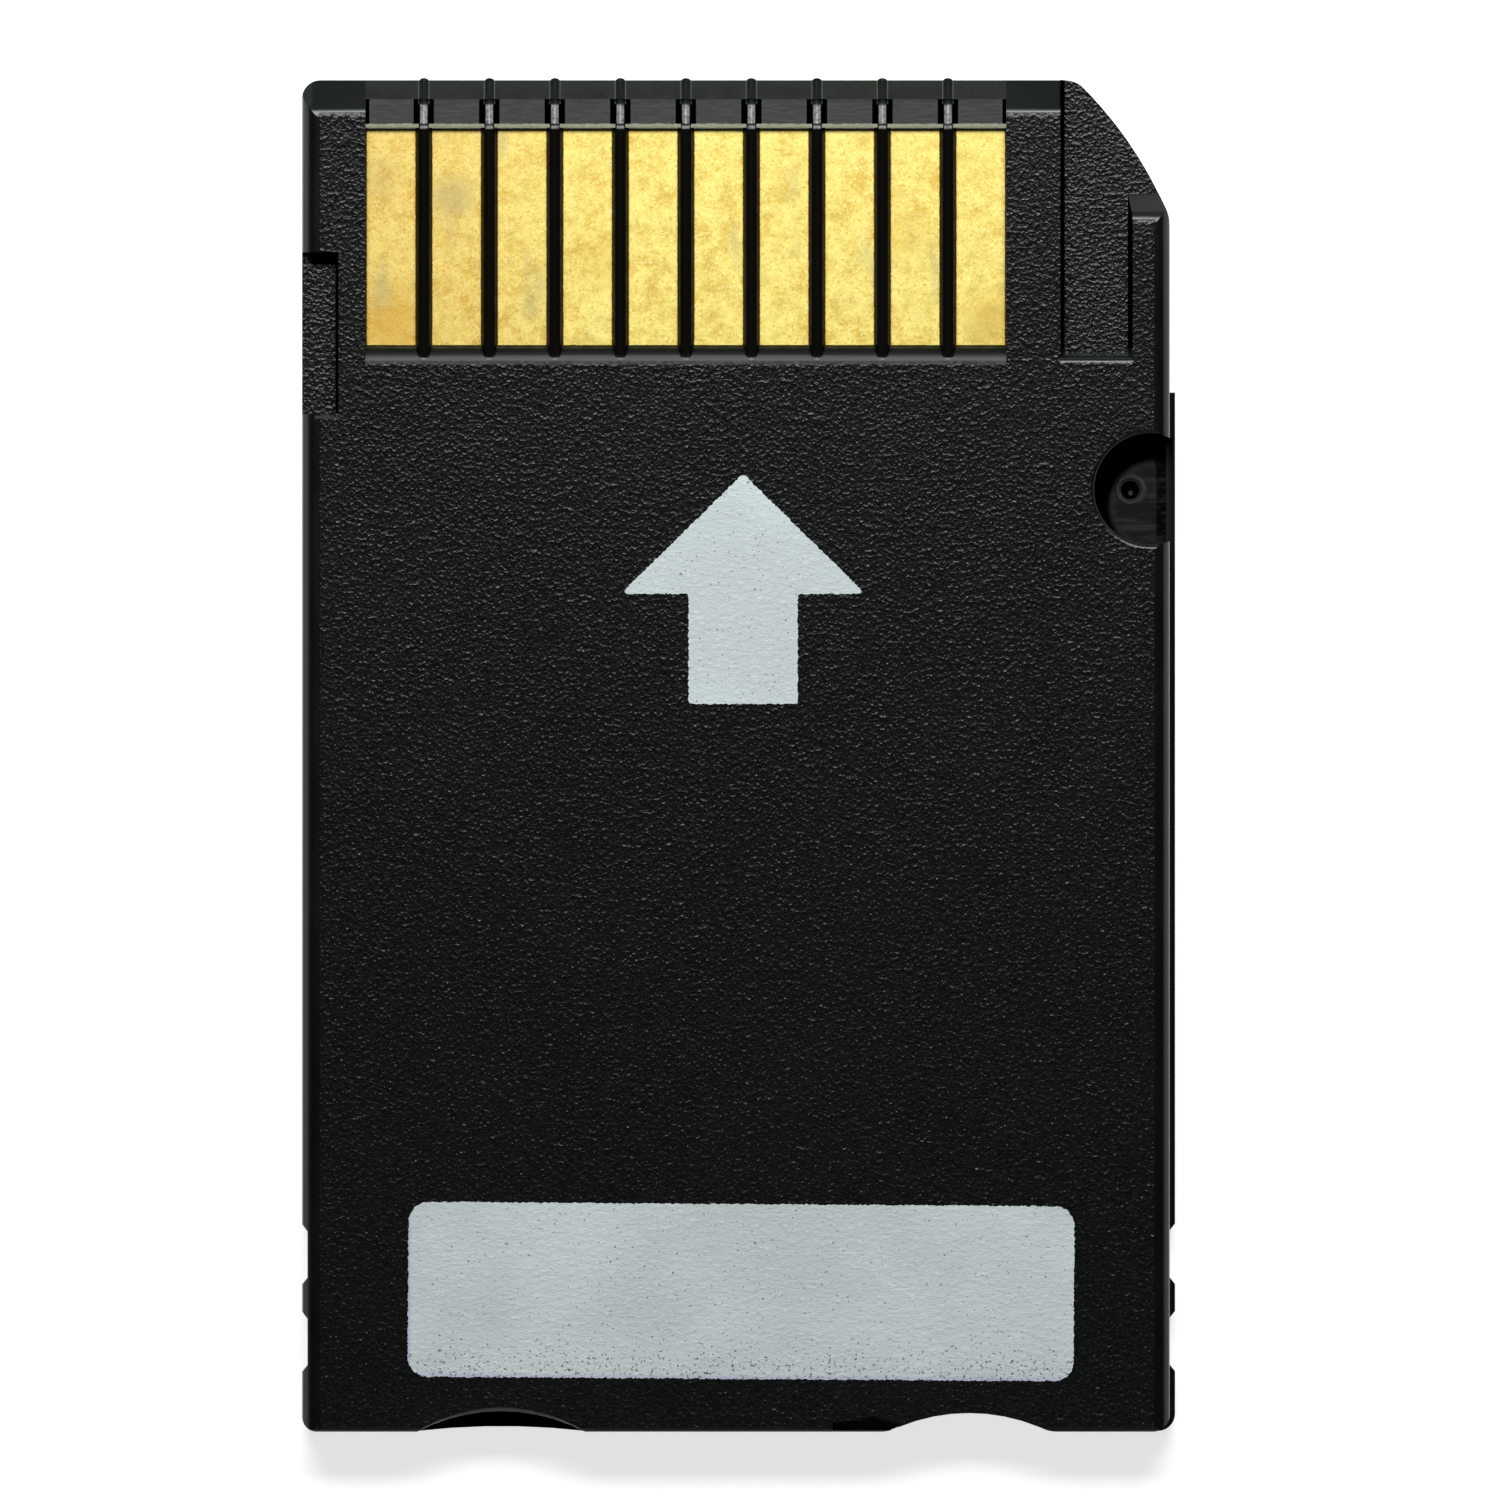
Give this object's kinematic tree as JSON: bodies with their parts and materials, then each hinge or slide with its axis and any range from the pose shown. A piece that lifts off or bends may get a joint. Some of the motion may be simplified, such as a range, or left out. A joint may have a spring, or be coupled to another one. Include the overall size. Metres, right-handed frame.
{
  "type": "memory card",
  "caption": "Flat black memory card of two moulded shells, with gold contacts in a ribbed window at one end, a keyed corner, a lock notch, grips and finger notches.",
  "frame": {"origin": "centre of the label face that the card lies on, on the surface below it", "axes": "+Z out of the contact face, +Y towards the contact end, +X towards the side with the keyed corner"},
  "size_m": [0.02, 0.031, 0.0016],
  "materials": {
    "shell_plastic": "fine spark-eroded grain, smooth bevels and ribs",
    "cover_plastic": "fine grain",
    "contact_gold": "thin gold plating, faintly mottled",
    "board_laminate": "glossy solder mask over glass laminate",
    "chip_resin": "moulded resin",
    "tinned_lead": "matt tin",
    "capacitor_ceramic": "fired ceramic",
    "resistor_ceramic": "glazed film",
    "fuse_ceramic": "fired ceramic"
  },
  "bodies": {
    "root": {"top_cover": "cover_plastic", "back_shell": "shell_plastic", "circuit_board": "board_laminate", "flash_memory_chip": "chip_resin", "controller_chip": "chip_resin", "flash_memory_leads": "tinned_lead", "fuse": "fuse_ceramic", "contact_01": "contact_gold", "contact_02": "contact_gold", "contact_03": "contact_gold", "contact_04": "contact_gold", "contact_05": "contact_gold", "contact_06": "contact_gold", "contact_07": "contact_gold", "contact_08": "contact_gold", "contact_09": "contact_gold", "contact_10": "contact_gold", "capacitor_1": "capacitor_ceramic", "capacitor_2": "capacitor_ceramic", "capacitor_3": "capacitor_ceramic", "capacitor_4": "capacitor_ceramic", "resistor_1": "resistor_ceramic", "resistor_2": "resistor_ceramic", "resistor_3": "resistor_ceramic", "resistor_4": "resistor_ceramic"}
  },
  "joints": []
}
